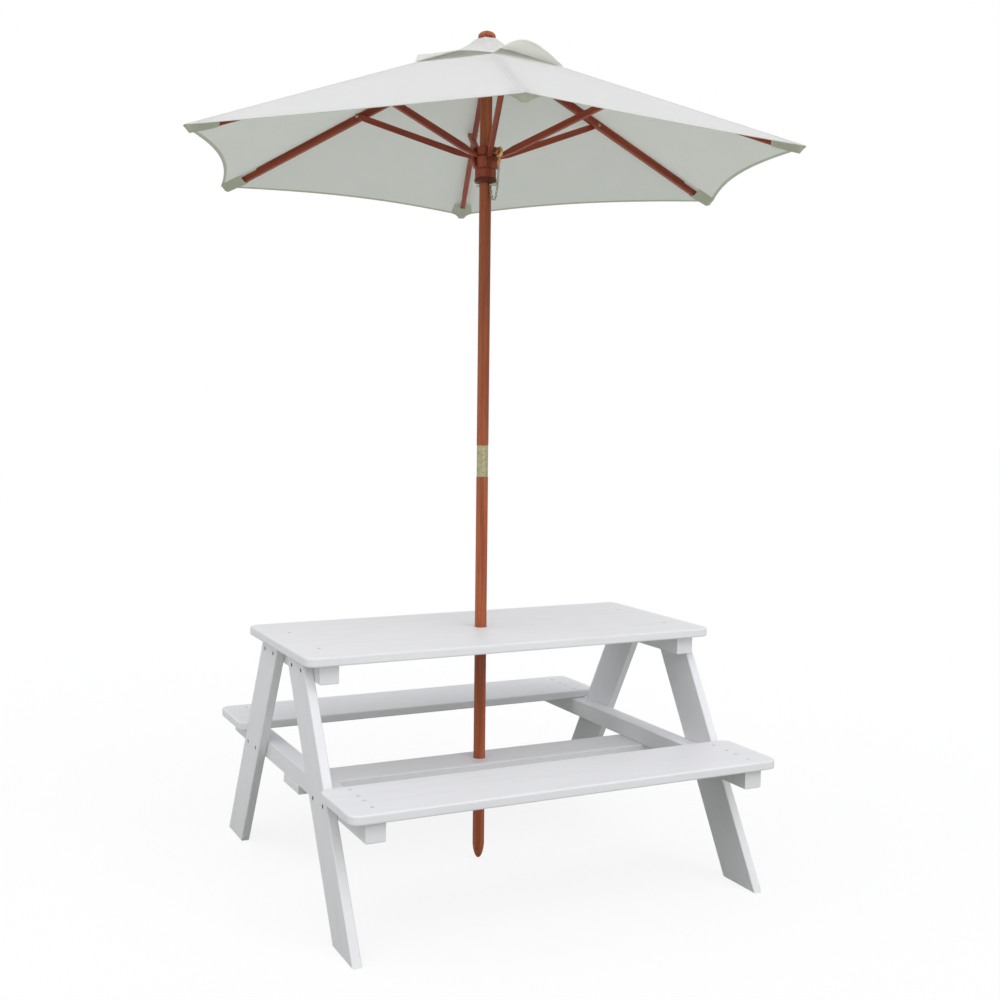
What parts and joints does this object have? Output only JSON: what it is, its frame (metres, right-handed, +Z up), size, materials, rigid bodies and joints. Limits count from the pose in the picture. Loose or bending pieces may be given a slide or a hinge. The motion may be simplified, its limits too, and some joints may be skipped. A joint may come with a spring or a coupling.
{
  "type": "picnic table with parasol",
  "caption": "Children's A-frame picnic table in painted wood with attached benches, and a folding hardwood parasol that stands through the middle of the tabletop.",
  "frame": {"origin": "on the ground under the parasol's pole, in the middle of the table", "axes": "+X along the benches, +Y from the near bench to the far one, +Z up"},
  "size_m": [1.302, 1.2454, 1.746],
  "materials": {
    "white_paint": "satin white paint",
    "hardwood": "oiled reddish hardwood",
    "brass": "dull brass",
    "screw_steel": "dark zinc",
    "canopy_cloth": "plain woven off-white cloth"
  },
  "bodies": {
    "table": {"tabletop": "white_paint", "bench_near": "white_paint", "bench_far": "white_paint", "stretcher": "white_paint", "cleat_left": "white_paint", "beam_left": "white_paint", "cleat_right": "white_paint", "beam_right": "white_paint", "leg_near_left": "white_paint", "leg_far_left": "white_paint", "leg_near_right": "white_paint", "leg_far_right": "white_paint", "screw_top_near_left_1": "screw_steel", "screw_top_near_left_2": "screw_steel", "screw_beam_near_left_1": "screw_steel", "screw_beam_near_left_2": "screw_steel", "screw_top_far_left_1": "screw_steel", "screw_top_far_left_2": "screw_steel", "screw_beam_far_left_1": "screw_steel", "screw_beam_far_left_2": "screw_steel", "screw_top_near_right_1": "screw_steel", "screw_top_near_right_2": "screw_steel", "screw_beam_near_right_1": "screw_steel", "screw_beam_near_right_2": "screw_steel", "screw_top_far_right_1": "screw_steel", "screw_top_far_right_2": "screw_steel", "screw_beam_far_right_1": "screw_steel", "screw_beam_far_right_2": "screw_steel"},
    "pole_lower": {"lower_pole": "hardwood"},
    "ferrule": {"ferrule": "brass"},
    "pole_upper": {"upper_pole": "hardwood", "crown": "hardwood", "finial": "hardwood", "canopy": "canopy_cloth", "vent_cap": "canopy_cloth"},
    "runner": {"runner": "hardwood", "runner_eye": "brass"},
    "rib_1": {"rib_1": "hardwood", "rivet_1": "brass"},
    "strut_1": {"strut_1": "hardwood"},
    "rib_2": {"rib_2": "hardwood", "rivet_2": "brass"},
    "strut_2": {"strut_2": "hardwood"},
    "rib_3": {"rib_3": "hardwood", "rivet_3": "brass"},
    "strut_3": {"strut_3": "hardwood"},
    "rib_4": {"rib_4": "hardwood", "rivet_4": "brass"},
    "strut_4": {"strut_4": "hardwood"},
    "rib_5": {"rib_5": "hardwood", "rivet_5": "brass"},
    "strut_5": {"strut_5": "hardwood"},
    "rib_6": {"rib_6": "hardwood", "rivet_6": "brass"},
    "strut_6": {"strut_6": "hardwood"}
  },
  "joints": [
    {"name": "parasol_lift", "type": "slide", "parent": "table", "child": "pole_lower", "axis": [0, 0, 1], "range_m": [0, 0.53]},
    {"name": "parasol_turn", "type": "hinge", "parent": "pole_lower", "child": "ferrule", "pos_m": [0, 0, 0.8575], "axis": [0, 0, 1], "continuous": true},
    {"name": "pole_pull", "type": "slide", "parent": "ferrule", "child": "pole_upper", "axis": [0, 0, 1], "range_m": [0, 0.1]},
    {"name": "runner_slide", "type": "slide", "parent": "pole_upper", "child": "runner", "axis": [0, 0, -1], "range_m": [0, 0.37499], "deforming": ["canopy", "vent_cap"]},
    {"name": "rib_1_fold", "type": "hinge", "parent": "pole_upper", "child": "rib_1", "pos_m": [-0.009, -0.02545, 1.7005], "axis": [0.9428, -0.3335, 0], "range_deg": [0, 64.46]},
    {"name": "strut_1_fold", "type": "hinge", "parent": "rib_1", "child": "strut_1", "pos_m": [-0.1005, -0.28413, 1.5949], "axis": [0.9428, -0.3335, 0], "range_deg": [-128.92, 0]},
    {"name": "rib_2_fold", "type": "hinge", "parent": "pole_upper", "child": "rib_2", "pos_m": [0.01754, -0.02053, 1.7005], "axis": [0.7602, 0.6497, 0], "range_deg": [0, 64.46]},
    {"name": "strut_2_fold", "type": "hinge", "parent": "rib_2", "child": "strut_2", "pos_m": [0.19581, -0.2291, 1.5949], "axis": [0.7602, 0.6497, 0], "range_deg": [-128.92, 0]},
    {"name": "rib_3_fold", "type": "hinge", "parent": "pole_upper", "child": "rib_3", "pos_m": [0.02655, 0.00493, 1.7005], "axis": [-0.1826, 0.9832, 0], "range_deg": [0, 64.46]},
    {"name": "strut_3_fold", "type": "hinge", "parent": "rib_3", "child": "strut_3", "pos_m": [0.29631, 0.05503, 1.5949], "axis": [-0.1826, 0.9832, 0], "range_deg": [-128.92, 0]},
    {"name": "rib_4_fold", "type": "hinge", "parent": "pole_upper", "child": "rib_4", "pos_m": [0.009, 0.02545, 1.7005], "axis": [-0.9428, 0.3335, 0], "range_deg": [0, 64.46]},
    {"name": "strut_4_fold", "type": "hinge", "parent": "rib_4", "child": "strut_4", "pos_m": [0.1005, 0.28413, 1.5949], "axis": [-0.9428, 0.3335, 0], "range_deg": [-128.92, 0]},
    {"name": "rib_5_fold", "type": "hinge", "parent": "pole_upper", "child": "rib_5", "pos_m": [-0.01754, 0.02053, 1.7005], "axis": [-0.7602, -0.6497, 0], "range_deg": [0, 64.46]},
    {"name": "strut_5_fold", "type": "hinge", "parent": "rib_5", "child": "strut_5", "pos_m": [-0.19581, 0.2291, 1.5949], "axis": [-0.7602, -0.6497, 0], "range_deg": [-128.92, 0]},
    {"name": "rib_6_fold", "type": "hinge", "parent": "pole_upper", "child": "rib_6", "pos_m": [-0.02655, -0.00493, 1.7005], "axis": [0.1826, -0.9832, 0], "range_deg": [0, 64.46]},
    {"name": "strut_6_fold", "type": "hinge", "parent": "rib_6", "child": "strut_6", "pos_m": [-0.29631, -0.05503, 1.5949], "axis": [0.1826, -0.9832, 0], "range_deg": [-128.92, 0]}
  ],
  "couplings": [
    {"joint": "rib_1_fold", "follows": "runner_slide", "rad_per_m": 2.9997},
    {"joint": "strut_1_fold", "follows": "runner_slide", "rad_per_m": -5.9995},
    {"joint": "rib_2_fold", "follows": "runner_slide", "rad_per_m": 2.9997},
    {"joint": "strut_2_fold", "follows": "runner_slide", "rad_per_m": -5.9995},
    {"joint": "rib_3_fold", "follows": "runner_slide", "rad_per_m": 2.9997},
    {"joint": "strut_3_fold", "follows": "runner_slide", "rad_per_m": -5.9995},
    {"joint": "rib_4_fold", "follows": "runner_slide", "rad_per_m": 2.9997},
    {"joint": "strut_4_fold", "follows": "runner_slide", "rad_per_m": -5.9995},
    {"joint": "rib_5_fold", "follows": "runner_slide", "rad_per_m": 2.9997},
    {"joint": "strut_5_fold", "follows": "runner_slide", "rad_per_m": -5.9995},
    {"joint": "rib_6_fold", "follows": "runner_slide", "rad_per_m": 2.9997},
    {"joint": "strut_6_fold", "follows": "runner_slide", "rad_per_m": -5.9995}
  ]
}
